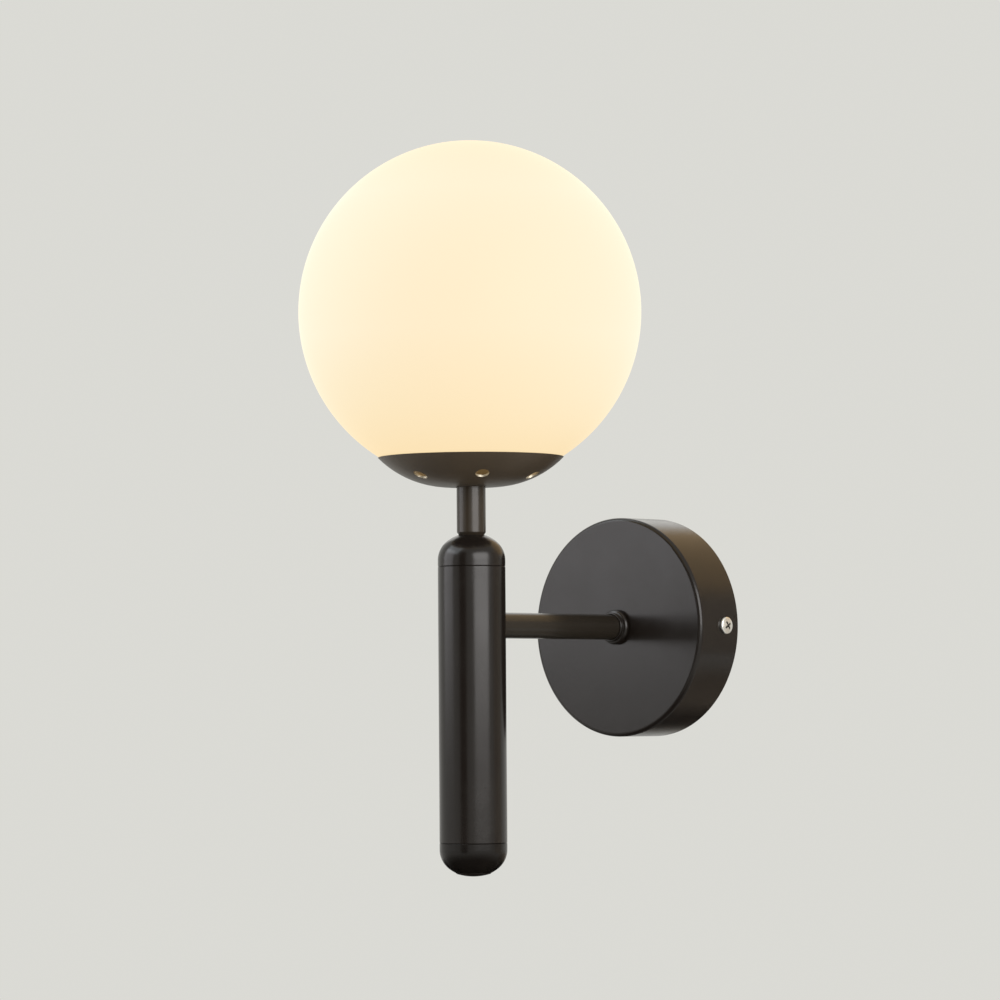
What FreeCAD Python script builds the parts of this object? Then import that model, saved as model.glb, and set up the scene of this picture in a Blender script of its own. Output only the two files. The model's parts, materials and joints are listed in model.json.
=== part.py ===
import FreeCAD, Part
import Sketcher
import math
import os
import re

# Globe wall sconce. X runs along the wall, Y into the wall, Z up, all in millimetres.
# The origin is the middle of the wall bracket on the wall's face. The arm's axis is at height 0.

SIZES = {
    # where the lamp stands
    "reach": 121.9,                # wall to the lamp's upright axis
    # round canopy on the wall
    "canopyDiameter": 99.0,
    "canopyDepth": 25.9,
    "canopyWall": 1.2,
    "canopyEdge": 1.8,             # rounding of the front edge
    # crossbar behind the canopy
    "barThickness": 2.0,
    "barWidth": 26.0,
    "tabDepth": 14.0,              # how far the bent tabs stand off the wall
    "tabGap": 0.4,                 # tab to canopy wall
    "bendRadius": 2.0,
    "wallSlotSpacing": 64.0,
    "wallSlotLength": 10.0,
    "wallSlotWidth": 5.0,
    "cableHole": 16.0,
    # screws through the canopy's side
    "sideScrewHeight": 8.7,        # screw axis to the wall
    "sideScrewDiameter": 4.0,
    "sideScrewLength": 8.0,
    "sideHeadDiameter": 8.2,
    "sideHeadHeight": 2.2,
    "sideHeadRound": 0.8,
    "screwGap": 0.15,              # radial clearance of a screw in its hole
    "recessLength": 5.0,           # cross recess in the head, tip to tip
    "recessWidth": 1.0,
    "recessDepth": 1.2,
    # arm and the threaded rod that draws it tight
    "armDiameter": 11.4,
    "armWall": 1.2,
    "collarDiameter": 14.8,
    "collarHeight": 3.0,           # the wide step
    "collarRound": 1.0,
    "collarLipWall": 0.6,
    "collarLipHeight": 1.8,        # the narrow step round the arm
    "collarLipRound": 0.4,
    "armSocket": 1.0,              # how far the arm sits below the wide step
    "rodDiameter": 8.0,
    "rodBore": 5.5,
    "rodNutWidth": 13.0,
    "rodNutHeight": 4.0,
    "rodEnd": 2.5,                 # thread showing past each nut
    "washerDiameter": 15.0,
    "washerThickness": 0.8,
    "threadGap": 0.05,             # radial clearance of a thread in its hole
    "saddleSide": 12.0,
    "saddleThickness": 0.6,        # under the corners of its nut
    "wallFit": 0.05,               # clearance of what seats on the round tube
    # upright tube and its two domed caps
    "tubeDiameter": 29.5,
    "tubeWall": 1.2,
    "tubeTop": 25.5,               # upper seam above the arm's axis
    "tubeBottom": 94.8,            # lower seam below the arm's axis
    "seamBevel": 0.25,             # small bevel each side of the two seams
    "domeHeight": 14.8,
    "crownRadius": 17.3,
    "cornerRadius": 10.5,
    "spigotLength": 8.0,
    "spigotWall": 1.5,
    "topCeiling": 5.6,             # height of the hollow in the upper cap
    "plugDiameter": 15.4,
    "plugGap": 0.08,
    "plugLength": 5.0,
    "plugProud": 0.35,             # the plug's rim above the mouth of its hole
    "plugRound": 0.25,
    "plugCrown": 1.15,             # the plug's own dome above its rim
    "plugHollow": 10.0,
    # stem, hollow nipple and its nuts
    "stemDiameter": 12.7,
    "stemWall": 1.1,
    "stemLength": 21.2,
    "stemChamfer": 1.4,            # height of the foot's taper
    "stemFootInset": 0.9,
    "nippleDiameter": 10.0,
    "nippleBore": 8.0,
    "nippleNutWidth": 14.0,
    "nippleNutHeight": 3.0,
    "nippleEnd": 2.0,
    # shallow dish that carries the globe
    "dishRimDiameter": 81.2,
    "dishFloorDiameter": 19.2,
    "dishArc": 43.6,               # radius of the dish's curved side in section
    "dishWall": 0.8,
    "lipBevel": 1.0,
    "ventDiameter": 6.0,
    "ventCircle": 57.0,
    "ventTurn": 23.0,              # direction of the first vent hole, degrees from X
    "ventCount": 6,
    # three-armed spring that grips the globe's opening from inside
    "springThickness": 0.5,
    "springWidth": 8.0,
    "springCount": 3,
    "springRise": 15.0,
    "springKnee": 8.2,
    "springDisc": 17.4,
    "springGap": 0.4,              # spring to the opening's edge
    # opal glass globe
    "globeDiameter": 150.0,
    "glassWall": 2.5,
    "globeOpening": 66.0,
    "seatGap": 0.2,                # glass to dish lip
    # small screw lampholder
    "holderDiameter": 26.0,
    "holderWall": 1.9,
    "holderFloor": 3.0,
    "holderCavity": 4.2,
    "insertHeight": 7.0,
    "insertLedge": 1.5,
    "sleeveHeight": 22.5,
    "sleeveTop": 23.6,             # diameter at the sleeve's mouth
    "shellDiameter": 14.3,         # inside of the brass screw shell
    "shellWall": 0.3,
    "shellHeight": 19.0,
    "holderFit": 0.1,
    "contactWidth": 5.0,
    "contactHeight": 1.8,
    # round bulb
    "bulbDiameter": 45.0,
    "bulbLength": 78.0,
    "bulbNeck": 43.5,              # contact to the foot of the glass ball's shade
    "capDiameter": 13.9,
    "capWall": 0.9,
    "capThreadDepth": 0.6,
    "capThreadPitch": 2.8,
    "capThreadTurns": 5,
    "capSkirt": 4.2,
    "pipDiameter": 5.0,
    "pipHeight": 1.2,
    "coneHeight": 2.6,
    "bulbSeatGap": 0.2,
    "collarWallBulb": 1.6,
    "diffuserWall": 1.2,
    # wiring
    "wireDiameter": 1.8,
    "wirePitch": 2.4,              # between the two lamp wires, side by side
    "wireBend": 4.0,               # widest bend of a lamp wire
    "earthWireBend": 8.0,
    "wireEntry": 1.0,              # how far a wire reaches into its pole
    "blockWidth": 14.0,
    "blockDepth": 11.0,
    "poleSpacing": 8.0,
    "blockStart": 10.5,            # terminal block's inner face from the middle
    "poleHeight": 5.5,             # terminal bore above the crossbar
    "poleOutside": 4.6,
    "poleBore": 3.0,
    "poleInset": 1.0,              # a pole's end inside the block's face
    "poleScrewDiameter": 2.8,
    "earthPlace": 19.0,            # earth screw from the middle, on the other side
    "earthScrewDiameter": 4.0,
    "earthHeadDiameter": 7.0,
    "earthHeadHeight": 2.4,
    "lugThickness": 0.8,
    "lugWidth": 8.0,
    "lugBarrel": 3.2,
}

# Sizes that follow from the ones above.
DERIVED = {
    "canopyRadius": "canopyDiameter / 2",
    "canopyInside": "canopyRadius - canopyWall",
    "tabFace": "sqrt(pow(canopyInside; 2) - pow(barWidth / 2; 2)) - tabGap",
    "rodRadius": "rodDiameter / 2",
    "rodHole": "rodRadius + threadGap",
    "armRadius": "armDiameter / 2",
    "armBoreInCollar": "armRadius + wallFit",
    "tubeRadius": "tubeDiameter / 2",
    "tubeInside": "tubeRadius - tubeWall",
    "saddleFace": "sqrt(pow(tubeInside; 2) - pow(rodNutWidth; 2) / 3) - saddleThickness",
    "spigotOutside": "tubeInside - wallFit",
    "spigotInside": "spigotOutside - spigotWall",
    "crownCentre": "domeHeight - crownRadius",
    "cornerRoom": "tubeRadius - cornerRadius",
    "cornerCentre": "crownCentre + sqrt(pow(crownRadius - cornerRadius; 2) - pow(cornerRoom; 2))",
    "crownShare": "crownRadius / (crownRadius - cornerRadius)",
    "crownStartRadius": "cornerRoom * crownShare",
    "crownStartHeight": "crownCentre + (cornerCentre - crownCentre) * crownShare",
    "stemRadius": "stemDiameter / 2",
    "stemFoot": "crownCentre + sqrt(pow(crownRadius; 2) - pow(stemRadius; 2))",
    "plugRadius": "plugDiameter / 2",
    "plugSide": "plugRadius - plugGap",
    "plugMouth": "crownCentre + sqrt(pow(crownRadius; 2) - pow(plugRadius; 2))",
    "nippleRadius": "nippleDiameter / 2",
    "nippleHole": "nippleRadius + threadGap",
    "dishBottom": "tubeTop + stemFoot + stemLength",
    "dishFloor": "dishFloorDiameter / 2",
    "dishRim": "dishRimDiameter / 2",
    "rimHeight": "dishArc - sqrt(pow(dishArc; 2) - pow(dishRim - dishFloor; 2))",
    "innerArc": "dishArc - dishWall",
    "seatHeight": "rimHeight - lipBevel",
    "seatRadius": "dishFloor + sqrt(pow(innerArc; 2) - pow(dishArc - seatHeight; 2))",
    "globeRadius": "globeDiameter / 2",
    "globeInside": "globeRadius - glassWall",
    "openingRadius": "globeOpening / 2",
    "globeCentre": "dishBottom + seatHeight + sqrt(pow(globeRadius; 2) - pow(seatRadius; 2)) + seatGap",
    "springFace": "openingRadius - springGap",
    "holderBottom": "dishBottom + dishWall + springThickness + nippleNutHeight",
    "insertBottom": "holderFloor + holderCavity",
    "baseHeight": "insertBottom + insertHeight",
    "holderRadius": "holderDiameter / 2",
    "baseInside": "holderRadius - holderWall",
    "shellInside": "shellDiameter / 2",
    "shellOutside": "shellInside + shellWall",
    "shellBottom": "holderBottom + baseHeight",
    "bulbBottom": "shellBottom + contactHeight + bulbSeatGap",
    "bulbRadius": "bulbDiameter / 2",
    "ballCentre": "bulbLength - bulbRadius",
    "neckRadius": "sqrt(pow(bulbRadius; 2) - pow(ballCentre - bulbNeck; 2))",
    "capRadius": "capDiameter / 2",
    "capBottom": "pipHeight + coneHeight",
    "threadTop": "capBottom + capThreadPitch * capThreadTurns",
    "capTop": "threadTop + capSkirt",
    "poleAxis": "barThickness + poleHeight",
}

SMALL = 1e-6                       # what counts as nothing, in a length or a volume
RUN_SHARE = 0.45                   # part of a wire's run that one bend may take up

doc = FreeCAD.newDocument("GlobeWallSconce")
sheet = doc.addObject("Spreadsheet::Sheet", "Sizes")
for row, (alias, amount) in enumerate(SIZES.items(), start=1):
    sheet.set(f"A{row}", alias)
    sheet.set(f"B{row}", str(amount))
    sheet.setAlias(f"B{row}", alias)
doc.recompute()

nodes = []
OUTWARD = FreeCAD.Rotation(FreeCAD.Vector(1, 0, 0), 90)      # a part's own Z points away from the wall
UPRIGHT = FreeCAD.Rotation()
HANGING = FreeCAD.Rotation(FreeCAD.Vector(1, 0, 0), 180)     # a part's own Z points down


# ---- reading sizes and drawing sketches ----

def bound(text):
    """The same formula with every size spelt as its cell in the sheet."""
    def cell(found):
        word = found.group(0)
        if word in DERIVED:
            return "(" + bound(DERIVED[word]) + ")"
        return "Sizes." + word if word in SIZES else word
    return re.sub(r"[A-Za-z][A-Za-z0-9]*", cell, text)


def value(text):
    """What a formula comes to, in millimetres or degrees."""
    number = sheet.evalExpression(bound(text))
    return float(getattr(number, "Value", number))


def place(item, rotation, x="0", y="0", z="0"):
    item.Placement = FreeCAD.Placement(FreeCAD.Vector(value(x), value(y), value(z)), rotation)
    for axis, text in (("x", x), ("y", y), ("z", z)):
        if text != "0":
            item.setExpression(f"Placement.Base.{axis}", bound(text))


def new_body(label, rotation=UPRIGHT, x="0", y="0", z="0"):
    body = doc.addObject("PartDesign::Body", label)
    body.Label = label
    place(body, rotation, x, y, z)
    return body


def new_sketch(body, role, offset="0"):
    plane = next(item for item in body.Origin.OriginFeatures if item.Role == role)
    sketch = body.newObject("Sketcher::SketchObject", body.Name + "Sketch")
    sketch.AttachmentSupport = [(plane, "")]
    sketch.MapMode = "FlatFace"
    if offset != "0":
        sketch.setExpression("AttachmentOffset.Base.z", bound(offset))
    return sketch


def pin(sketch, piece, point, across, text):
    """Tie one coordinate of a point to a formula."""
    amount = value(text)
    if abs(amount) < SMALL:
        sketch.addConstraint(Sketcher.Constraint("PointOnObject", piece, point, -2 if across else -1))
        return
    kind = "DistanceX" if across else "DistanceY"
    index = sketch.addConstraint(Sketcher.Constraint(kind, -1, 1, piece, point, amount))
    sketch.renameConstraint(index, f"size{index}")
    sketch.setExpression(f"Constraints.size{index}", bound(text))


def draw_outline(sketch, corners):
    """A closed outline. A corner is (x, y), or (x, y, centre x, centre y, way) at the end of an arc,
    where way is "left" for an arc that turns left and "right" for one that turns right."""
    spots = [FreeCAD.Vector(value(corner[0]), value(corner[1]), 0) for corner in corners]
    first = sketch.GeometryCount
    ends = []
    for index, start in enumerate(spots):
        following = (index + 1) % len(corners)
        stop = spots[following]
        arc = corners[following][2:]
        if not arc:
            sketch.addGeometry(Part.LineSegment(start, stop))
            ends.append((1, 2))
            continue
        centre = FreeCAD.Vector(value(arc[0]), value(arc[1]), 0)
        begin, finish = (start, stop) if arc[2] == "left" else (stop, start)
        angles = [math.atan2(spot.y - centre.y, spot.x - centre.x) for spot in (begin, finish)]
        circle = Part.Circle(centre, FreeCAD.Vector(0, 0, 1), (start - centre).Length)
        sketch.addGeometry(Part.ArcOfCircle(circle, angles[0], angles[1]))
        ends.append((1, 2) if arc[2] == "left" else (2, 1))
        flat = abs(stop.x - start.x) >= abs(stop.y - start.y)
        pin(sketch, first + index, 3, not flat, arc[1] if flat else arc[0])
    for index, corner in enumerate(corners):
        following = (index + 1) % len(corners)
        sketch.addConstraint(Sketcher.Constraint(
            "Coincident", first + index, ends[index][1], first + following, ends[following][0]))
        pin(sketch, first + index, ends[index][0], True, corner[0])
        pin(sketch, first + index, ends[index][0], False, corner[1])


def draw_circle(sketch, radius, x="0", y="0"):
    centre = FreeCAD.Vector(value(x), value(y), 0)
    piece = sketch.addGeometry(Part.Circle(centre, FreeCAD.Vector(0, 0, 1), value(radius)))
    index = sketch.addConstraint(Sketcher.Constraint("Radius", piece, value(radius)))
    sketch.renameConstraint(index, f"size{index}")
    sketch.setExpression(f"Constraints.size{index}", bound(radius))
    pin(sketch, piece, 3, True, x)
    pin(sketch, piece, 3, False, y)


def draw_slot(sketch, middle, length, width):
    """A round-ended slot along the sketch's first axis."""
    low, high = f"{middle} - ({length} - {width}) / 2", f"{middle} + ({length} - {width}) / 2"
    draw_outline(sketch, [
        (low, f"-{width} / 2", low, "0", "left"),
        (high, f"-{width} / 2"),
        (high, f"{width} / 2", high, "0", "left"),
        (low, f"{width} / 2"),
    ])


def box_corners(low_x, low_y, high_x, high_y):
    return [(low_x, low_y), (high_x, low_y), (high_x, high_y), (low_x, high_y)]


def hexagon(width):
    """Corners of a hexagon that is this wide across its flats."""
    return [(f"{width} / sqrt(3) * cos({60 * step})", f"{width} / sqrt(3) * sin({60 * step})")
            for step in range(6)]


# ---- making bodies ----

def pad(body, sketch, length, midplane=False):
    feature = body.newObject("PartDesign::Pad", body.Name + "Pad")
    feature.Profile = sketch
    feature.Midplane = midplane
    feature.setExpression("Length", bound(length))
    return feature


def cut(body, sketch, length=None):
    """Cut a sketch's shape out of the body: to a depth, or right through both ways."""
    doc.recompute()
    before = body.Shape.Volume
    feature = body.newObject("PartDesign::Pocket", body.Name + "Cut")
    feature.Profile = sketch
    if length:
        feature.setExpression("Length", bound(length))
    else:
        feature.Type = "ThroughAll"
        feature.Midplane = True
    doc.recompute()
    if body.Shape.Volume > before - SMALL:
        raise RuntimeError(body.Label + ": a cut removes nothing")


def keep(item):
    """List a finished piece as a node."""
    nodes.append(item)
    return item


def turned(label, corners, rotation=UPRIGHT, x="0", y="0", z="0"):
    """A piece turned on a lathe: an outline in radius and height, spun about its own Z."""
    body = new_body(label, rotation, x, y, z)
    sketch = new_sketch(body, "XZ_Plane")
    draw_outline(sketch, corners)
    feature = body.newObject("PartDesign::Revolution", body.Name + "Turn")
    feature.Profile = sketch
    feature.ReferenceAxis = (sketch, ["V_Axis"])
    feature.Angle = 360
    return body


def on_lamp_axis(label, corners, z, rotation=UPRIGHT):
    return turned(label, corners, rotation, "0", "-reach", z)


def tube_corners(inside, outside, bottom, top):
    return box_corners(inside, bottom, outside, top)


def repeated(label, master, placements):
    """One node that holds the same piece several times, as separate solids."""
    links = []
    for placement in placements:
        link = doc.addObject("App::Link", label + "Copy")
        link.setLink(master)
        link.LinkPlacement = placement
        links.append(link)
    group = doc.addObject("Part::Compound", label)
    group.Label = label
    group.Links = links
    return keep(group)


# ---- wall side ----

def make_wall_bracket():
    body = new_body("wall_bracket", OUTWARD)
    bend = "(barThickness + bendRadius)"
    inner = "(tabFace - barThickness)"
    turn = f"(tabFace - {bend})"
    strip = new_sketch(body, "XZ_Plane")
    draw_outline(strip, [
        (f"-{turn}", "0", f"-{turn}", bend, "left"),
        (turn, "0"),
        ("tabFace", bend, turn, bend, "left"),
        ("tabFace", "tabDepth"),
        (inner, "tabDepth"),
        (inner, bend),
        (turn, "barThickness", turn, bend, "right"),
        (f"-{turn}", "barThickness"),
        (f"-{inner}", bend, f"-{turn}", bend, "right"),
        (f"-{inner}", "tabDepth"),
        ("-tabFace", "tabDepth"),
        ("-tabFace", bend),
    ])
    pad(body, strip, "barWidth", midplane=True)
    holes = new_sketch(body, "XY_Plane")
    draw_circle(holes, "cableHole / 2")
    draw_circle(holes, "earthScrewDiameter / 2 + threadGap", "-earthPlace")
    for side in ("-1", "1"):
        draw_slot(holes, f"{side} * wallSlotSpacing / 2", "wallSlotLength", "wallSlotWidth")
    cut(body, holes)
    side_holes = new_sketch(body, "YZ_Plane")
    draw_circle(side_holes, "sideScrewDiameter / 2 + threadGap", "0", "sideScrewHeight")
    cut(body, side_holes)
    return keep(body)


def make_canopy():
    body = turned("canopy", [
        ("canopyInside", "0"),
        ("canopyRadius", "0"),
        ("canopyRadius", "canopyDepth - canopyEdge"),
        ("canopyRadius - canopyEdge", "canopyDepth",
         "canopyRadius - canopyEdge", "canopyDepth - canopyEdge", "left"),
        ("rodHole", "canopyDepth"),
        ("rodHole", "canopyDepth - canopyWall"),
        ("canopyRadius - canopyEdge", "canopyDepth - canopyWall"),
        ("canopyInside", "canopyDepth - canopyEdge",
         "canopyRadius - canopyEdge", "canopyDepth - canopyEdge", "right"),
    ], OUTWARD)
    holes = new_sketch(body, "YZ_Plane")
    draw_circle(holes, "sideScrewDiameter / 2 + screwGap", "0", "sideScrewHeight")
    cut(body, holes)
    return keep(body)


def make_canopy_screws():
    """Two pan-head screws with a cross recess, driven in from the left and the right."""
    screw = turned("side_screw", [
        ("0", "-sideScrewLength"),
        ("sideScrewDiameter / 2", "-sideScrewLength"),
        ("sideScrewDiameter / 2", "0"),
        ("sideHeadDiameter / 2", "0"),
        ("sideHeadDiameter / 2", "sideHeadHeight - sideHeadRound"),
        ("sideHeadDiameter / 2 - sideHeadRound", "sideHeadHeight",
         "sideHeadDiameter / 2 - sideHeadRound", "sideHeadHeight - sideHeadRound", "left"),
        ("0", "sideHeadHeight"),
    ])
    reach, half = "recessLength / 2", "recessWidth / 2"
    cross = new_sketch(screw, "XY_Plane", "sideHeadHeight")
    draw_outline(cross, [
        (f"-{reach}", f"-{half}"), (f"-{half}", f"-{half}"), (f"-{half}", f"-{reach}"),
        (half, f"-{reach}"), (half, f"-{half}"), (reach, f"-{half}"),
        (reach, half), (half, half), (half, reach),
        (f"-{half}", reach), (f"-{half}", half), (f"-{reach}", half),
    ])
    cut(screw, cross, "recessDepth")
    spots = []
    for side in (-1, 1):
        where = FreeCAD.Vector(side * value("canopyRadius"), -value("sideScrewHeight"), 0)
        spots.append(FreeCAD.Placement(where, FreeCAD.Rotation(FreeCAD.Vector(0, 1, 0), 90 * side)))
    return repeated("canopy_screws", screw, spots)


def make_earth_screw():
    return keep(turned("earth_screw", [
        ("0", "-barThickness"),
        ("earthScrewDiameter / 2", "-barThickness"),
        ("earthScrewDiameter / 2", "lugThickness"),
        ("earthHeadDiameter / 2", "lugThickness"),
        ("earthHeadDiameter / 2", "lugThickness + earthHeadHeight / 2"),
        ("earthHeadDiameter / 2 - earthHeadHeight / 2", "lugThickness + earthHeadHeight",
         "earthHeadDiameter / 2 - earthHeadHeight / 2", "lugThickness + earthHeadHeight / 2", "left"),
        ("0", "lugThickness + earthHeadHeight"),
    ], OUTWARD, "-earthPlace", "-barThickness"))


def make_earth_lug():
    """Ring lug under the earth screw, with the barrel that grips the wire."""
    body = new_body("earth_lug", OUTWARD, "-earthPlace", "-barThickness")
    plate = new_sketch(body, "XY_Plane")
    draw_outline(plate, [
        ("0", "-lugWidth / 2", "0", "0", "left"),
        ("lugWidth", "-lugBarrel / 2"),
        ("lugWidth", "lugBarrel / 2"),
        ("0", "lugWidth / 2"),
    ])
    pad(body, plate, "lugThickness")
    barrel = new_sketch(body, "YZ_Plane", "lugWidth - lugBarrel")
    draw_circle(barrel, "lugBarrel / 2", "0", "lugBarrel / 2")
    pad(body, barrel, "lugBarrel * 2")
    bore = new_sketch(body, "YZ_Plane")
    draw_circle(bore, "wireDiameter / 2 + threadGap", "0", "lugBarrel / 2")
    hole = new_sketch(body, "XY_Plane")
    draw_circle(hole, "earthScrewDiameter / 2 + threadGap")
    cut(body, bore)
    cut(body, hole)
    return keep(body)


# ---- arm ----

def make_arm_collar():
    """Stepped ring: a wide round-edged step on the canopy, and a thin lip round the arm's end."""
    wide, lip = "(collarDiameter / 2)", "(armBoreInCollar + collarLipWall)"
    top = "(collarHeight + collarLipHeight)"
    return keep(turned("arm_collar", [
        ("rodHole", "0"),
        (wide, "0"),
        (wide, "collarHeight - collarRound"),
        (f"{wide} - collarRound", "collarHeight",
         f"{wide} - collarRound", "collarHeight - collarRound", "left"),
        (lip, "collarHeight"),
        (lip, f"{top} - collarLipRound"),
        (f"{lip} - collarLipRound", top,
         f"{lip} - collarLipRound", f"{top} - collarLipRound", "left"),
        ("armBoreInCollar", top),
        ("armBoreInCollar", "collarHeight - armSocket"),
        ("rodHole", "collarHeight - armSocket"),
    ], OUTWARD, "0", "-canopyDepth"))


def make_arm():
    """Tube from the collar's socket to the upright tube, its far end coped to fit round it."""
    start = "(canopyDepth + collarHeight - armSocket)"
    blank = turned("arm_blank", tube_corners("armRadius - armWall", "armRadius", "0", f"reach - {start}"),
                   OUTWARD, "0", f"-{start}")
    coping = doc.addObject("Part::Cylinder", "arm_coping")
    coping.setExpression("Radius", bound("tubeRadius + wallFit"))
    coping.setExpression("Height", bound("tubeDiameter * 2"))
    place(coping, UPRIGHT, "0", "-reach", "-tubeDiameter")
    arm = doc.addObject("Part::Cut", "arm")
    arm.Base = blank
    arm.Tool = coping
    arm.Label = "arm"
    return keep(arm)


def make_arm_rod():
    """Hollow threaded rod through the arm, which also carries the wires."""
    start = "canopyDepth - canopyWall - washerThickness - rodNutHeight - rodEnd"
    finish = "reach - saddleFace + rodNutHeight + rodEnd"
    return keep(turned("arm_rod", tube_corners("rodBore / 2", "rodRadius", "0", f"{finish} - ({start})"),
                       OUTWARD, "0", f"-({start})"))


def nut_body(label, width, hole, height, rotation, x="0", y="0", z="0"):
    body = new_body(label, rotation, x, y, z)
    sketch = new_sketch(body, "XY_Plane")
    draw_outline(sketch, hexagon(width))
    draw_circle(sketch, hole)
    pad(body, sketch, height)
    return body


def make_rod_nuts():
    nut = nut_body("rod_nut", "rodNutWidth", "rodHole", "rodNutHeight", OUTWARD)
    wall_side = -value("canopyDepth - canopyWall - washerThickness - rodNutHeight")
    tube_side = -value("reach - saddleFace")
    spots = [FreeCAD.Placement(FreeCAD.Vector(0, where, 0), OUTWARD) for where in (wall_side, tube_side)]
    return repeated("rod_nuts", nut, spots)


def make_rod_washer():
    return keep(turned("rod_washer", tube_corners("rodHole", "washerDiameter / 2", "0", "washerThickness"),
                       OUTWARD, "0", "-(canopyDepth - canopyWall - washerThickness)"))


def make_saddle():
    """Block with one round face that fits inside the upright tube, under the rod's nut."""
    blank = doc.addObject("Part::Box", "saddle_blank")
    blank.setExpression("Length", bound("saddleSide"))
    blank.setExpression("Width", bound("tubeRadius"))
    blank.setExpression("Height", bound("saddleSide"))
    place(blank, UPRIGHT, "-saddleSide / 2", "-(reach - saddleFace)", "-saddleSide / 2")
    room = doc.addObject("Part::Cylinder", "saddle_room")
    room.setExpression("Radius", bound("tubeInside - wallFit"))
    room.setExpression("Height", bound("saddleSide * 2"))
    place(room, UPRIGHT, "0", "-reach", "-saddleSide")
    block = doc.addObject("Part::Common", "saddle_block")
    block.Base = blank
    block.Tool = room
    hole = doc.addObject("Part::Cylinder", "saddle_hole")
    hole.setExpression("Radius", bound("rodHole"))
    hole.setExpression("Height", bound("tubeDiameter"))
    place(hole, OUTWARD, "0", "-(reach - tubeDiameter)")
    saddle = doc.addObject("Part::Cut", "rod_saddle")
    saddle.Base = block
    saddle.Tool = hole
    saddle.Label = "rod_saddle"
    return keep(saddle)


# ---- upright tube ----

def make_body_tube():
    """Upright tube with a small bevel at each end and a hole for the arm's rod."""
    body = on_lamp_axis("body_tube", [
        ("tubeInside", "-tubeBottom"),
        ("tubeRadius - seamBevel", "-tubeBottom"),
        ("tubeRadius", "seamBevel - tubeBottom"),
        ("tubeRadius", "tubeTop - seamBevel"),
        ("tubeRadius - seamBevel", "tubeTop"),
        ("tubeInside", "tubeTop"),
    ], "0")
    hole = new_sketch(body, "XZ_Plane")
    draw_circle(hole, "rodHole")
    cut(body, hole, "tubeDiameter")
    return keep(body)


def dome_corners(hole, edge, edge_height, ceiling):
    """Domed cap seen from its seam: a spigot below, a rounded shoulder and a shallow crown above."""
    corners = [
        ("spigotInside", "-spigotLength"),
        ("spigotOutside", "-spigotLength"),
        ("spigotOutside", "0"),
        ("tubeRadius - seamBevel", "0"),
        ("tubeRadius", "seamBevel"),
        ("tubeRadius", "cornerCentre"),
        ("crownStartRadius", "crownStartHeight", "cornerRoom", "cornerCentre", "left"),
        (edge, edge_height, "0", "crownCentre", "left"),
    ]
    if hole != edge:
        corners.append((hole, edge_height))
    return corners + [(hole, ceiling), ("spigotInside", ceiling)]


def make_top_cap():
    return keep(on_lamp_axis("top_cap", dome_corners("nippleHole", "stemRadius", "stemFoot", "topCeiling"),
                             "tubeTop"))


def make_bottom_cap():
    return keep(on_lamp_axis("bottom_cap",
                             dome_corners("plugRadius", "plugRadius", "plugMouth", "plugMouth - plugLength"),
                             "-tubeBottom", HANGING))


def make_bottom_plug():
    """Round plug in the lower cap, a little proud, with a shallow dome of its own."""
    low = "(plugMouth - plugLength)"
    rim = "(plugMouth + plugProud)"
    flat = "(plugSide - plugRound)"
    dome = f"((pow({flat}; 2) + pow(plugCrown; 2)) / (2 * plugCrown))"
    return keep(on_lamp_axis("bottom_plug", [
        ("plugHollow / 2", low),
        ("plugSide", low),
        ("plugSide", f"{rim} - plugRound"),
        (flat, rim),
        ("0", f"{rim} + plugCrown", "0", f"{rim} + plugCrown - {dome}", "left"),
        ("0", "plugMouth - plugLength / 2"),
        ("plugHollow / 2", "plugMouth - plugLength / 2"),
    ], "-tubeBottom", HANGING))


def make_stem():
    return keep(on_lamp_axis("stem", [
        ("stemRadius - stemWall", "0"),
        ("stemRadius - stemFootInset", "0"),
        ("stemRadius", "stemChamfer"),
        ("stemRadius", "stemLength"),
        ("stemRadius - stemWall", "stemLength"),
    ], "tubeTop + stemFoot"))


def make_lamp_nipple():
    start = "tubeTop + topCeiling - nippleNutHeight - nippleEnd"
    finish = "holderBottom + holderFloor + nippleEnd"
    return keep(on_lamp_axis("lamp_nipple",
                             tube_corners("nippleBore / 2", "nippleRadius", "0", f"{finish} - ({start})"),
                             start))


def make_nipple_nuts():
    nut = nut_body("nipple_nut", "nippleNutWidth", "nippleHole", "nippleNutHeight", UPRIGHT)
    heights = ["tubeTop + topCeiling - nippleNutHeight", "holderBottom - nippleNutHeight"]
    spots = [FreeCAD.Placement(FreeCAD.Vector(0, -value("reach"), value(height)), UPRIGHT)
             for height in heights]
    return repeated("nipple_nuts", nut, spots)


# ---- dish, spring and globe ----

def make_dish():
    """Shallow spun dish: flat floor, curved side, bevelled lip, and a ring of vent holes."""
    body = on_lamp_axis("dish", [
        ("nippleHole", "0"),
        ("dishFloor", "0"),
        ("dishRim", "rimHeight", "dishFloor", "dishArc", "left"),
        ("seatRadius", "seatHeight"),
        ("dishFloor", "dishWall", "dishFloor", "dishArc", "right"),
        ("nippleHole", "dishWall"),
    ], "dishBottom")
    vents = new_sketch(body, "XY_Plane")
    for index in range(int(value("ventCount"))):
        angle = f"(ventTurn + 360 * {index} / ventCount)"
        draw_circle(vents, "ventDiameter / 2",
                    f"ventCircle / 2 * cos({angle})", f"ventCircle / 2 * sin({angle})")
    cut(body, vents)
    return keep(body)


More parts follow.
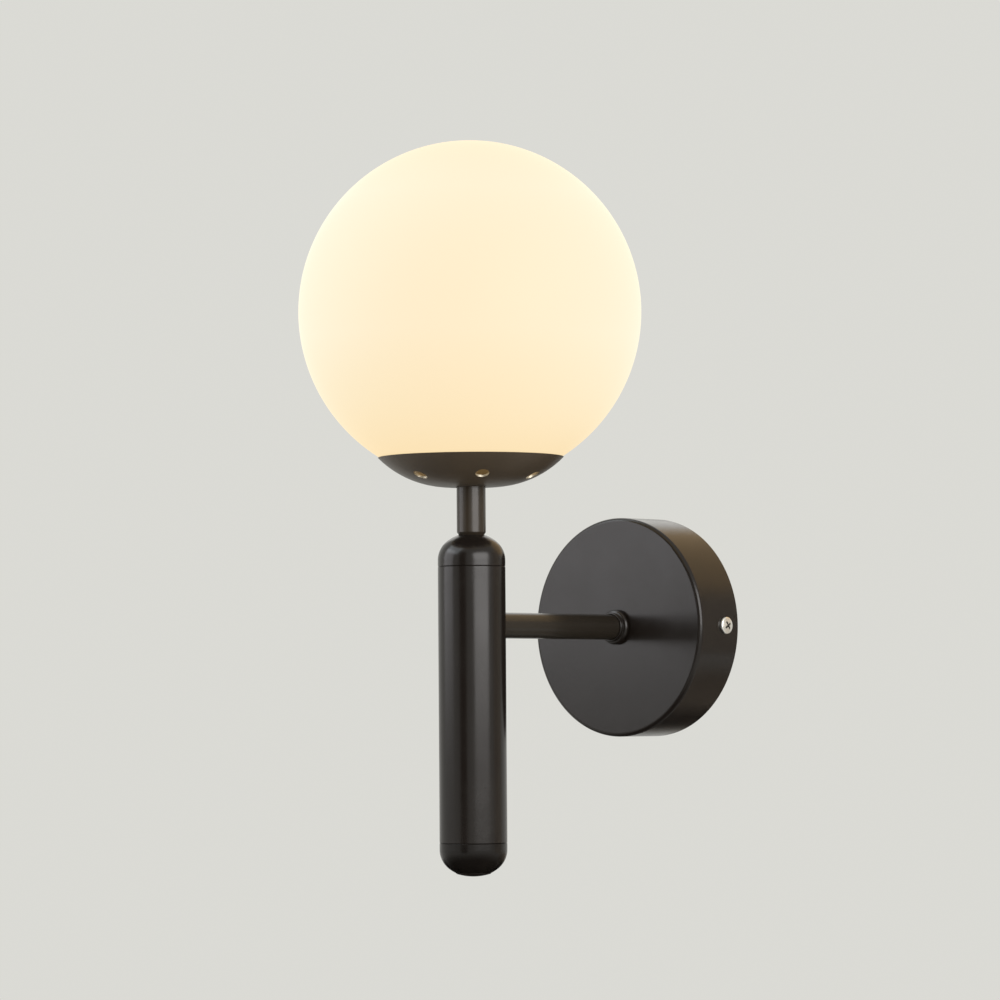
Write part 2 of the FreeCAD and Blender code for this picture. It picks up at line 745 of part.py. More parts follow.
def make_globe_spring():
    """Spring-steel spider: a disc under the nut, and arms that rise inside the globe's opening."""
    body = new_body("globe_spring", UPRIGHT, "0", "-reach", "dishBottom + dishWall")
    disc = new_sketch(body, "XY_Plane")
    draw_circle(disc, "springDisc / 2")
    draw_circle(disc, "nippleHole")
    pad(body, disc, "springThickness")
    strip = new_sketch(body, "XZ_Plane")
    foot = "(springDisc / 2 - springThickness)"
    draw_outline(strip, [
        (foot, "0"),
        ("springDisc / 2", "0"),
        ("springFace", "springKnee"),
        ("springFace", "springRise - springThickness * 2"),
        ("springFace - springThickness * 3", "springRise"),
        ("springFace - springThickness * 4", "springRise"),
        ("springFace - springThickness", "springRise - springThickness * 3"),
        ("springFace - springThickness", "springKnee + springThickness"),
        (foot, "springThickness"),
    ])
    arm = pad(body, strip, "springWidth", midplane=True)
    doc.recompute()
    arms = body.newObject("PartDesign::PolarPattern", "spring_arms")
    arms.Originals = [arm]
    arms.Axis = (disc, ["N_Axis"])
    arms.Angle = 360
    arms.setExpression("Occurrences", bound("springCount"))
    body.Tip = arms
    return keep(body)


def make_globe():
    def at_opening(radius):
        return f"-sqrt(pow({radius}; 2) - pow(openingRadius; 2))"
    return keep(on_lamp_axis("globe", [
        ("openingRadius", at_opening("globeRadius")),
        ("0", "globeRadius", "0", "0", "left"),
        ("0", "globeInside"),
        ("openingRadius", at_opening("globeInside"), "0", "0", "right"),
    ], "globeCentre"))


# ---- lampholder ----

def make_holder_base():
    return keep(on_lamp_axis("holder_base", [
        ("nippleHole", "0"),
        ("holderRadius", "0"),
        ("holderRadius", "baseHeight"),
        ("baseInside", "baseHeight"),
        ("baseInside", "insertBottom"),
        ("baseInside - insertLedge", "insertBottom"),
        ("baseInside - insertLedge", "holderFloor"),
        ("nippleHole", "holderFloor"),
    ], "holderBottom"))


def make_holder_insert():
    return keep(on_lamp_axis("holder_insert", [
        ("0", "0"),
        ("baseInside - holderFit", "0"),
        ("baseInside - holderFit", "insertHeight"),
        ("0", "insertHeight"),
    ], "holderBottom + insertBottom"))


def make_holder_sleeve():
    return keep(on_lamp_axis("holder_sleeve", [
        ("shellOutside + holderFit", "0"),
        ("holderRadius", "0"),
        ("sleeveTop / 2", "sleeveHeight"),
        ("shellOutside + holderFit + shellWall", "sleeveHeight"),
        ("shellOutside + holderFit + shellWall", "shellHeight"),
        ("shellOutside + holderFit", "shellHeight"),
    ], "shellBottom"))


def make_screw_shell():
    return keep(on_lamp_axis("screw_shell", tube_corners("shellInside", "shellOutside", "0", "shellHeight"),
                             "shellBottom"))


def make_centre_contact():
    """Leaf spring on the insert that presses on the bulb's centre contact."""
    body = new_body("centre_contact", UPRIGHT, "0", "-reach", "shellBottom")
    strip = new_sketch(body, "XZ_Plane")
    leaf = "springThickness"
    draw_outline(strip, [
        ("-contactWidth", "0"),
        ("-contactWidth / 4", "0"),
        ("contactWidth / 4", f"contactHeight - {leaf}"),
        ("contactWidth / 2", f"contactHeight - {leaf}"),
        ("contactWidth / 2", "contactHeight"),
        ("0", "contactHeight"),
        ("-contactWidth / 2", leaf),
        ("-contactWidth", leaf),
    ])
    pad(body, strip, "contactWidth", midplane=True)
    return keep(body)


# ---- bulb ----

def make_bulb_contact():
    return keep(on_lamp_axis("bulb_contact", box_corners("0", "0", "pipDiameter / 2", "pipHeight"),
                             "bulbBottom"))


def make_bulb_insulator():
    return keep(on_lamp_axis("bulb_insulator", [
        ("0", "pipHeight"),
        ("pipDiameter / 2", "pipHeight"),
        ("capRadius - capThreadDepth", "capBottom"),
        ("0", "capBottom"),
    ], "bulbBottom"))


def make_bulb_cap():
    """Rolled thread, drawn as level ridges, with a plain skirt above."""
    root = "capRadius - capThreadDepth"
    corners = [("capRadius - capThreadDepth - capWall", "capBottom"), (root, "capBottom")]
    for ridge in range(int(value("capThreadTurns"))):
        corners.append(("capRadius", f"capBottom + capThreadPitch * {ridge + 0.5}"))
        corners.append((root, f"capBottom + capThreadPitch * {ridge + 1}"))
    corners += [(root, "capTop"), ("capRadius - capThreadDepth - capWall", "capTop")]
    return keep(on_lamp_axis("bulb_cap", corners, "bulbBottom"))


def make_bulb_collar():
    """White plastic cone between the metal cap and the shade of the bulb."""
    throat = "(capRadius + collarWallBulb)"
    return keep(on_lamp_axis("bulb_collar", [
        ("capRadius - capThreadDepth", "capTop"),
        (throat, "capTop"),
        ("neckRadius", "bulbNeck"),
        ("neckRadius - collarWallBulb", "bulbNeck"),
        ("capRadius - capThreadDepth", "capTop + collarWallBulb"),
    ], "bulbBottom"))


def make_bulb_diffuser():
    inside = "bulbRadius - diffuserWall"
    foot = "neckRadius - diffuserWall"
    return keep(on_lamp_axis("bulb_diffuser", [
        (foot, "bulbNeck"),
        ("neckRadius", "bulbNeck"),
        ("0", "bulbLength", "0", "ballCentre", "left"),
        ("0", "bulbLength - diffuserWall"),
        (foot, f"ballCentre - sqrt(pow({inside}; 2) - pow({foot}; 2))", "0", "ballCentre", "right"),
    ], "bulbBottom"))


# ---- wiring ----

def make_terminal_block():
    """Insulating block with one brass pole for each wire, screwed flat on the crossbar."""
    body = new_body("terminal_block", OUTWARD, "blockStart", "-barThickness")
    height = "(poleSpacing * 3)"
    sketch = new_sketch(body, "XY_Plane")
    draw_outline(sketch, box_corners("0", f"-{height} / 2", "blockWidth", f"{height} / 2"))
    pad(body, sketch, "blockDepth")
    bores = new_sketch(body, "YZ_Plane")
    wells = new_sketch(body, "XY_Plane", "blockDepth")
    for pole in (-1, 0, 1):
        draw_circle(bores, "poleOutside / 2 + threadGap", f"{pole} * poleSpacing", "poleHeight")
        for side in (1, 3):
            draw_circle(wells, "poleScrewDiameter / 2 + screwGap",
                        f"blockWidth * {side} / 4", f"{pole} * poleSpacing")
    cut(body, bores)
    cut(body, wells, "blockDepth - poleHeight")
    return keep(body)


def make_terminal_poles():
    pole = turned("terminal_pole", tube_corners("poleBore / 2", "poleOutside / 2",
                                                 "0", "blockWidth - poleInset * 2"))
    along = FreeCAD.Rotation(FreeCAD.Vector(0, 1, 0), 90)
    spots = [FreeCAD.Placement(FreeCAD.Vector(value("blockStart + poleInset"), -value("poleAxis"),
                                              step * value("poleSpacing")), along) for step in (-1, 0, 1)]
    return repeated("terminal_poles", pole, spots)


def make_terminal_screws():
    length = "blockDepth - poleHeight - poleOutside / 2"
    screw = turned("terminal_screw", box_corners("0", "0", "poleScrewDiameter / 2", length), OUTWARD)
    spots = []
    for step in (-1, 0, 1):
        for side in (1, 3):
            spots.append(FreeCAD.Placement(FreeCAD.Vector(
                value(f"blockStart + blockWidth * {side} / 4"),
                -value("poleAxis + poleOutside / 2 + threadGap"),
                step * value("poleSpacing")), OUTWARD))
    return repeated("terminal_screws", screw, spots)


def rounded_path(points, radii):
    """Straight runs joined by tangent arcs, one arc at each inner point."""
    edges, last = [], points[0]
    for index, radius in enumerate(radii, start=1):
        corner = points[index]
        before = (corner - points[index - 1]).normalize()
        after = (points[index + 1] - corner).normalize()
        turn = before.getAngle(after)
        setback = radius * math.tan(turn / 2)
        start, stop = corner - before * setback, corner + after * setback
        inward = (after - before).normalize()
        middle = corner + inward * (radius / math.cos(turn / 2) - radius)
        edges.append(Part.LineSegment(last, start).toShape())
        edges.append(Part.Arc(start, middle, stop).toShape())
        last = stop
    edges.append(Part.LineSegment(last, points[-1]).toShape())
    return Part.Wire(edges)


def make_wire(label, points, widest):
    """One insulated wire along its route; each bend is as large as its runs allow, up to widest."""
    radii = []
    for index in range(1, len(points) - 1):
        before, after = points[index] - points[index - 1], points[index + 1] - points[index]
        run = min(before.Length, after.Length)
        radii.append(min(widest, RUN_SHARE * run / math.tan(before.getAngle(after) / 2)))
    path = rounded_path(points, radii)
    radius = value("wireDiameter / 2")
    ring = Part.Wire(Part.Circle(points[0], points[1] - points[0], radius).toShape())
    tube = path.makePipeShell([ring], True, False)
    expected = math.pi * radius ** 2 * path.Length
    print(f"{label}: length {path.Length:.1f}, bend radii {[round(bend, 1) for bend in radii]},",
          f"volume {tube.Volume:.1f} of {expected:.1f}")
    item = doc.addObject("Part::Feature", label)
    item.Shape = tube
    item.Label = label
    return keep(item)


def make_wires():
    vector = FreeCAD.Vector
    pole_face = value("blockStart + poleInset + wireEntry")
    pole_depth = -value("poleAxis")
    lamp_axis = -value("reach")
    rod_mouth = -value("canopyDepth - canopyWall - washerThickness - rodNutHeight - rodEnd")
    holder_end = value("holderBottom + insertBottom - bulbSeatGap")
    side = value("wirePitch / 2")
    spacing = value("poleSpacing")
    for label, way in (("live_wire", -1), ("neutral_wire", 1)):
        make_wire(label, [
            vector(pole_face, pole_depth, way * spacing),
            vector(pole_face - spacing, pole_depth, way * spacing),
            vector(way * side, (rod_mouth + pole_depth) / 2, 0),
            vector(way * side, lamp_axis, 0),
            vector(way * side, lamp_axis, holder_end),
        ], value("wireBend"))
    lug_end = vector(-value("earthPlace - lugWidth"), -value("barThickness + lugBarrel / 2"), 0)
    make_wire("earth_wire", [
        vector(pole_face, pole_depth, 0),
        vector(pole_face - spacing, pole_depth, 0),
        vector(-value("cableHole / 4"), lug_end.y, 0),
        lug_end,
    ], value("earthWireBend"))


# ---- assembly ----

def check_document():
    for item in doc.Objects:
        if "Invalid" in item.State or "Error" in item.State:
            raise RuntimeError(f"{item.Label}: {item.State}")
    for node in nodes:
        if node.Shape.isNull() or not node.Shape.isValid() or not node.Shape.Solids:
            raise RuntimeError(f"{node.Label}: no valid solid")
    labels = [node.Label for node in nodes]
    if len(set(labels)) != len(labels):
        raise RuntimeError("two nodes share a name")


def write_parts():
    os.makedirs("parts", exist_ok=True)
    for node in nodes:
        node.Shape.exportStep(f"parts/{node.Label}.step")
        print(f"{node.Label}: {len(node.Shape.Solids)} solid, {node.Shape.Volume:.0f} cubic mm")


makers = [
    make_wall_bracket, make_canopy, make_canopy_screws, make_earth_screw, make_earth_lug,
    make_arm_collar, make_arm, make_arm_rod, make_rod_nuts, make_rod_washer, make_saddle,
    make_body_tube, make_top_cap, make_bottom_cap, make_bottom_plug, make_stem, make_lamp_nipple,
    make_nipple_nuts, make_dish, make_globe_spring, make_globe,
    make_holder_base, make_holder_insert, make_holder_sleeve, make_screw_shell, make_centre_contact,
    make_bulb_contact, make_bulb_insulator, make_bulb_cap, make_bulb_collar, make_bulb_diffuser,
    make_terminal_block, make_terminal_poles, make_terminal_screws, make_wires,
]
for maker in makers:
    maker()
doc.recompute()
check_document()
write_parts()
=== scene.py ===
import json
from math import atan2, cos, pi, radians, sin, sqrt

import bmesh
import bpy
from mathutils import Matrix, Vector


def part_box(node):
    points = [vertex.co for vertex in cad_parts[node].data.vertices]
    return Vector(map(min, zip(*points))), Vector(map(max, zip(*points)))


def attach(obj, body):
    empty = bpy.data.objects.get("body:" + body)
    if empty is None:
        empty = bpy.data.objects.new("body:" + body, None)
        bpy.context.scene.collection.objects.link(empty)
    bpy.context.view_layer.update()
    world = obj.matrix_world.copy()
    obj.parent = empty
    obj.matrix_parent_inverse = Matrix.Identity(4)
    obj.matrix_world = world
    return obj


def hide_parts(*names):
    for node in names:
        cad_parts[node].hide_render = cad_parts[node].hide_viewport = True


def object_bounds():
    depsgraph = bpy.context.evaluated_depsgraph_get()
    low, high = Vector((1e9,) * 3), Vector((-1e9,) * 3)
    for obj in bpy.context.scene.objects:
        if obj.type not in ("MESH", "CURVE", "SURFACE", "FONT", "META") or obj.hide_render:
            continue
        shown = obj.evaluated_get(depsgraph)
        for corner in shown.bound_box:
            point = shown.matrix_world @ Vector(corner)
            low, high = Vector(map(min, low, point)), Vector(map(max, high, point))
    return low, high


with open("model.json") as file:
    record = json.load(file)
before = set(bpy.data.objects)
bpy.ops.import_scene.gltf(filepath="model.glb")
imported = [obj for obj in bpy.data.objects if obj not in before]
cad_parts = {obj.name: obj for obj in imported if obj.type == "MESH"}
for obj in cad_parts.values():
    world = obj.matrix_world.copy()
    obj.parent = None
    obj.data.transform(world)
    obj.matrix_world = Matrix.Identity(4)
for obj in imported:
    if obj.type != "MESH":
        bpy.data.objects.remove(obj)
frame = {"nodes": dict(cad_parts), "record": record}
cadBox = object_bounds()
nodes = frame["nodes"]
mm = 0.001
print("frame loaded:", len(nodes), "pieces")

# the lamp's upright axis and the globe's heights, read from the frame
globeLow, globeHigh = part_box("globe")
lampX = (globeLow[0] + globeHigh[0]) / 2
lampY = (globeLow[1] + globeHigh[1]) / 2
globeFoot, globeTop = globeLow[2], globeHigh[2]


# shader maths: a wrapped socket adds its own Math nodes

class Wire:
    def __init__(self, paint, socket):
        self.paint = paint
        self.socket = socket

    def __add__(self, other):
        return self.paint.math("ADD", self, other)

    def __radd__(self, other):
        return self.paint.math("ADD", other, self)

    def __sub__(self, other):
        return self.paint.math("SUBTRACT", self, other)

    def __rsub__(self, other):
        return self.paint.math("SUBTRACT", other, self)

    def __mul__(self, other):
        return self.paint.math("MULTIPLY", self, other)

    def __rmul__(self, other):
        return self.paint.math("MULTIPLY", other, self)

    def __pow__(self, other):
        return self.paint.math("POWER", self, other)

    def __rpow__(self, other):
        return self.paint.math("POWER", other, self)


class Box:
    def __init__(self, paint, node):
        self.paint = paint
        self.node = node

    def out(self, name):
        return Wire(self.paint, self.node.outputs[name])


# builds the nodes of a new material, or of a world that is given
class Paint:
    def __init__(self, name, world=None):
        self.owner = world or bpy.data.materials.new(name)
        self.owner.use_nodes = True
        self.tree = self.owner.node_tree
        self.tree.nodes.clear()

    def add(self, kind, settings=None, values=None):
        node = self.tree.nodes.new(kind)
        for name, setting in (settings or {}).items():
            setattr(node, name, setting)
        for name, value in (values or {}).items():
            if isinstance(value, Wire):
                self.tree.links.new(value.socket, node.inputs[name])
            else:
                node.inputs[name].default_value = value
        return Box(self, node)

    def math(self, operation, *values):
        return self.add("ShaderNodeMath", {"operation": operation}, dict(enumerate(values))).out(0)

    def place(self):
        return self.add("ShaderNodeTexCoord").out("Object")

    def axes(self, vector):
        return self.add("ShaderNodeSeparateXYZ", {}, {"Vector": vector})

    def across(self, vector, middleX, middleY):
        # level distance from an upright line
        spot = self.axes(vector)
        return ((spot.out("X") - middleX) ** 2 + (spot.out("Y") - middleY) ** 2) ** 0.5

    def noise(self, vector, scale, detail=3.0, roughness=0.5):
        return self.add("ShaderNodeTexNoise", {}, {"Vector": vector, "Scale": scale, "Detail": detail,
                                                   "Roughness": roughness}).out("Fac")

    def clouds(self, vector, scale):
        return self.noise(vector, scale, detail=4.0, roughness=0.6)

    def grain(self, vector, scale):
        return self.noise(vector, scale, detail=2.0, roughness=0.6)

    def blend(self, share, first, second):
        return self.add("ShaderNodeMix", {"data_type": "RGBA"}, {0: share, 6: first, 7: second}).out(2)

    def ramp(self, value, low, high, to=(0.0, 1.0)):
        return self.add("ShaderNodeMapRange", {}, {"Value": value, "From Min": low, "From Max": high,
                                                   "To Min": to[0], "To Max": to[1]}).out("Result")

    def spread(self, noise, to):
        # most of a noise lies between 0.3 and 0.7
        return self.ramp(noise, 0.3, 0.7, to)

    def bump(self, height, strength, distance, normal=None):
        values = {"Height": height, "Strength": strength, "Distance": distance}
        if normal is not None:
            values["Normal"] = normal
        return self.add("ShaderNodeBump", {}, values).out("Normal")

    def surface(self, values):
        return self.add("ShaderNodeBsdfPrincipled", {}, values).out("BSDF")

    def layer(self, share, below, above):
        return self.add("ShaderNodeMixShader", {}, {0: share, 1: below, 2: above}).out(0)

    def output(self, surface):
        self.add("ShaderNodeOutputMaterial", {}, {"Surface": surface})
        return self.owner

    def finish(self, values):
        return self.output(self.surface(values))


def rgb(red, green, blue):
    return (red, green, blue, 1.0)


# powder coat: each piece that shows it has its own tint; those of the stem and the arm are painted light, lighter
# and warmer, and that of the bottom cap is painted shade, darker
coat = {
    "colour": rgb(0.0098, 0.0074, 0.0060),
    "plugColour": rgb(0.014, 0.010, 0.008),
    # painted light: the stem's and the arm's coats are lighter and warmer, as the globe's light falling on them
    "stemLitColour": rgb(0.034, 0.026, 0.018),
    "armLitColour": rgb(0.020, 0.0165, 0.0125),
    # painted shade: the bottom cap's coat is darker, as the shade low under the lamp
    "footShadeColour": rgb(0.0075, 0.0060, 0.0050),
    "dustColour": rgb(0.020, 0.017, 0.014),
    "dust": 0.6,                   # how much of the dust shows
    "dustBand": (0.45, 0.8),       # the part of the clouds that carries dust
    "grainBand": (0.4, 0.7),       # and the part of the grain
    "cloudScale": 38.0,
    "peelScale": 950.0,            # bumps per metre
    "grainScale": 2945.0,
    "peelBump": 0.35,
    "grainBump": 0.12,
    "bumpHeight": 0.03 * mm,
    "roughness": (0.19, 0.27),
    "specular": 0.34,
    "footSpecular": 0.28,          # the bottom cap is a little duller
}


def blackCoat(name, colour, specular=coat["specular"]):
    paint = Paint(name)
    place = paint.place()
    clouds = paint.clouds(place, coat["cloudScale"])
    peel = paint.noise(place, coat["peelScale"], detail=2.0, roughness=0.55)
    grain = paint.noise(place, coat["grainScale"], detail=1.0)
    dust = paint.ramp(clouds, *coat["dustBand"]) * paint.ramp(grain, *coat["grainBand"])
    fine = paint.bump(grain, coat["grainBump"], coat["bumpHeight"])
    return paint.finish({
        "Base Color": paint.blend(dust * coat["dust"], colour, coat["dustColour"]),
        "Roughness": paint.spread(clouds, coat["roughness"]),
        "Specular IOR Level": specular,
        "Normal": paint.bump(peel, coat["peelBump"], coat["bumpHeight"], fine),
    })


# the dish keeps its coat outside, has a thin bronze wash inside, and bare edges in its vent holes; all three
# carry painted light: the outer coat is lighter and warmer from the globe, the wash lighter on faces turned up to
# the globe, and the bare vent edges pale as if lit by it
dishLitPaint = {
    # painted light: the outer coat is lighter and warmer, as the globe's light on it
    "coat": rgb(0.059, 0.044, 0.029),
    "dust": 0.4,
    "roughness": (0.38, 0.48),
    # painted light: the bronze wash inside is lighter, as the globe's light inside the dish
    "inside": (rgb(0.36, 0.27, 0.16), rgb(0.29, 0.22, 0.13)),
    "insideMetal": 0.7,
    "insideRoughness": (0.34, 0.44),
    # painted highlight: the vent holes' bare edges are pale, as edges lit by the glow
    "edge": (rgb(0.50, 0.46, 0.37), rgb(0.42, 0.38, 0.31)),
    "edgeRoughness": (0.45, 0.55),
    "edgeTilt": 0.25,              # how far a vent's wall may lean
    "ventBand": (12.0 * mm, 34.0 * mm),     # the vents lie between these distances from the axis
    "washReach": 39.2 * mm,        # the wash ends under the rim
}


def dishLitCoat(name):
    paint = Paint(name)
    place = paint.place()
    clouds = paint.clouds(place, coat["cloudScale"])
    peel = paint.noise(place, coat["peelScale"], detail=2.0, roughness=0.55)
    dust = paint.ramp(clouds, *coat["dustBand"]) * dishLitPaint["dust"]
    # painted light: the outer coat, lighter and warmer than the rest of the coat
    outside = paint.surface({
        "Base Color": paint.blend(dust, dishLitPaint["coat"], coat["dustColour"]),
        "Roughness": paint.spread(clouds, dishLitPaint["roughness"]),
        "Specular IOR Level": coat["specular"],
        "Normal": paint.bump(peel, coat["peelBump"], coat["bumpHeight"]),
    })
    # painted light: upward faces inside the rim take the lighter bronze wash
    litWash = paint.surface({
        "Base Color": paint.blend(clouds, *dishLitPaint["inside"]),
        "Metallic": dishLitPaint["insideMetal"],
        "Roughness": paint.spread(clouds, dishLitPaint["insideRoughness"]),
    })
    # painted highlight: the vent holes' upright walls take pale bare metal
    litBareEdge = paint.surface({
        "Base Color": paint.blend(clouds, *dishLitPaint["edge"]),
        "Metallic": 1.0,
        "Roughness": paint.spread(clouds, dishLitPaint["edgeRoughness"]),
    })
    facing = paint.axes(paint.add("ShaderNodeNewGeometry").out("Normal")).out("Z")
    across = paint.across(place, lampX, lampY)
    ventFrom, ventTo = dishLitPaint["ventBand"]
    upright = paint.math("LESS_THAN", paint.math("ABSOLUTE", facing), dishLitPaint["edgeTilt"])
    inVents = paint.math("GREATER_THAN", across, ventFrom) * paint.math("LESS_THAN", across, ventTo)
    upward = paint.math("GREATER_THAN", facing, dishLitPaint["edgeTilt"])
    underRim = paint.math("LESS_THAN", across, dishLitPaint["washReach"])
    withLitWash = paint.layer(upward * underRim, outside, litWash)
    return paint.output(paint.layer(upright * inVents, withLitWash, litBareEdge))


# rolled zinc-plated sheet of the crossbar: fine lines along it and pale blotches
zinc = {
    "colours": (rgb(0.50, 0.50, 0.49), rgb(0.66, 0.66, 0.65)),
    "lineScale": 2600.0,
    "lineStretch": 0.06,
    "lineShare": 0.15,
    "blotchScale": 120.0,
    "blotchBand": (0.3, 0.75),
    "blotchShare": 0.6,
    "fleckScale": 420.0,
    "fleckBand": (0.1, 0.6),
    "fleckShare": 0.25,
    "roughness": (0.30, 0.46),
    "bump": 0.25,
    "bumpHeight": 0.03 * mm,
}


def zincSheet(name):
    paint = Paint(name)
    place = paint.place()
    along = paint.add("ShaderNodeMapping", {}, {"Vector": place, "Scale": (zinc["lineStretch"], 1.0, 1.0)})
    lines = paint.noise(along.out("Vector"), zinc["lineScale"], detail=3.0, roughness=0.6)
    blotches = paint.noise(place, zinc["blotchScale"], detail=4.0, roughness=0.65)
    flecks = paint.add("ShaderNodeTexVoronoi", {}, {"Vector": place, "Scale": zinc["fleckScale"]})
    pale = paint.ramp(blotches, *zinc["blotchBand"]) * zinc["blotchShare"]
    specks = paint.ramp(flecks.out("Distance"), *zinc["fleckBand"]) * zinc["fleckShare"]
    return paint.finish({
        "Base Color": paint.blend(pale + specks + lines * zinc["lineShare"], *zinc["colours"]),
        "Metallic": 1.0,
        "Roughness": paint.spread(blotches, zinc["roughness"]),
        "Normal": paint.bump(lines, zinc["bump"], zinc["bumpHeight"]),
    })


# earth wire: green with a yellow band above and below, from this height off its middle
earthWire = {
    "green": rgb(0.035, 0.20, 0.030),
    "yellow": rgb(0.62, 0.50, 0.020),
    "bandFrom": 0.42 * mm,
    "grainScale": 900.0,
    "roughness": (0.34, 0.46),
    "bump": 0.15,
    "bumpHeight": 0.02 * mm,
}


def stripedWire(name):
    paint = Paint(name)
    place = paint.place()
    height = paint.math("ABSOLUTE", paint.axes(place).out("Z"))
    band = paint.math("GREATER_THAN", height, earthWire["bandFrom"])
    grain = paint.noise(place, earthWire["grainScale"], detail=2.0)
    return paint.finish({
        "Base Color": paint.blend(band, earthWire["green"], earthWire["yellow"]),
        "Roughness": paint.spread(grain, earthWire["roughness"]),
        "Normal": paint.bump(grain, earthWire["bump"], earthWire["bumpHeight"]),
    })


# metal: two tones in soft clouds under a fine grain
metal = {
    "cloudScale": 78.0,
    "cloudBand": (0.35, 0.75),
    "grainScale": 1560.0,
    "roughness": (0.2, 0.36),
    "bump": 0.3,
    "bumpHeight": 0.02 * mm,
}


def plainMetal(name, colour, darker, roughness=metal["roughness"]):
    paint = Paint(name)
    place = paint.place()
    clouds = paint.clouds(place, metal["cloudScale"])
    return paint.finish({
        "Base Color": paint.blend(paint.ramp(clouds, *metal["cloudBand"]), colour, darker),
        "Metallic": 1.0,
        "Roughness": paint.spread(clouds, roughness),
        "Normal": paint.bump(paint.grain(place, metal["grainScale"]), metal["bump"], metal["bumpHeight"]),
    })


# plastic and ceramic, made the same way
plastic = {
    "cloudScale": 60.0,
    "cloudBand": (0.4, 0.8),
    "grainScale": 840.0,
    "roughness": (0.35, 0.5),
    "specular": 0.45,
    "bump": 0.25,
    "bumpHeight": 0.02 * mm,
}


def plainPlastic(name, colour, darker, roughness=plastic["roughness"]):
    paint = Paint(name)
    place = paint.place()
    clouds = paint.clouds(place, plastic["cloudScale"])
    return paint.finish({
        "Base Color": paint.blend(paint.ramp(clouds, *plastic["cloudBand"]), colour, darker),
        "Roughness": paint.spread(clouds, roughness),
        "Specular IOR Level": plastic["specular"],
        "Normal": paint.bump(paint.grain(place, plastic["grainScale"]), plastic["bump"], plastic["bumpHeight"]),
    })


# opal glass, lit from inside: warmer and dimmer low down, near the dish, and paler at its edge, where a painted
# reflection is added to the glow
opal = {
    "colours": (rgb(0.070, 0.0695, 0.069), rgb(0.065, 0.0645, 0.064)),
    "cloudScale": 9.0,
    "cloudBand": (0.3, 0.8),
    "glowHigh": rgb(1.0, 0.831, 0.561),
    "glowLow": rgb(1.0, 0.768, 0.438),
    # painted reflection: the paler glow at the globe's edge
    "edgePaintedReflection": rgb(1.0, 0.95, 0.74),
    "glow": 0.92,
    "lowBand": (0.000, 0.055),     # height above the globe's foot over which the glow changes
    "lowDrift": 0.012,             # how far the clouds shift that height
    # the painted reflection at the edge fades out toward the top
    "topBand": (0.116, 0.142),     # over this height the pale edge fades out
    "rippleScale": 55.0,
    "rippleBump": 0.04,
    "rippleHeight": 0.4 * mm,
    "roughness": (0.57, 0.63),
    "specular": 0.15,
}


def opalGlass(name):
    paint = Paint(name)
    place = paint.place()
    height = paint.axes(place).out("Z") - globeFoot
    clouds = paint.noise(place, opal["cloudScale"])
    share = paint.ramp(height + (clouds - 0.5) * opal["lowDrift"], *opal["lowBand"])
    body = paint.blend(share, opal["glowLow"], opal["glowHigh"])
    # painted reflection: the glow turns paler where the surface turns away from the view, except at the foot and
    # the top
    facing = paint.add("ShaderNodeLayerWeight", {}, {"Blend": 0.5}).out("Facing")
    edge = facing * share * paint.ramp(height, *opal["topBand"], (1.0, 0.0))
    ripple = paint.noise(place, opal["rippleScale"], detail=1.0)
    return paint.finish({
        "Base Color": paint.blend(paint.ramp(clouds, *opal["cloudBand"]), *opal["colours"]),
        "Roughness": paint.spread(clouds, opal["roughness"]),
        "Specular IOR Level": opal["specular"],
        "Emission Color": paint.blend(edge, body, opal["edgePaintedReflection"]),
        "Emission Strength": opal["glow"],
        "Normal": paint.bump(ripple, opal["rippleBump"], opal["rippleHeight"]),
    })


# the bulb's diffuser, lit from inside as well
diffuser = {
    "colours": (rgb(0.20, 0.195, 0.18), rgb(0.192, 0.18525, 0.1656)),
    "glows": (rgb(1.0, 0.84, 0.60), rgb(1.0, 0.8148, 0.552)),
    "glow": 0.90,
    "cloudScale": 60.0,
    "roughness": (0.35, 0.45),
}


def litPlastic(name):
    paint = Paint(name)
    clouds = paint.noise(paint.place(), diffuser["cloudScale"])
    return paint.finish({
        "Base Color": paint.blend(clouds, *diffuser["colours"]),
        "Roughness": paint.spread(clouds, diffuser["roughness"]),
        "Emission Color": paint.blend(clouds, *diffuser["glows"]),
        "Emission Strength": diffuser["glow"],
    })


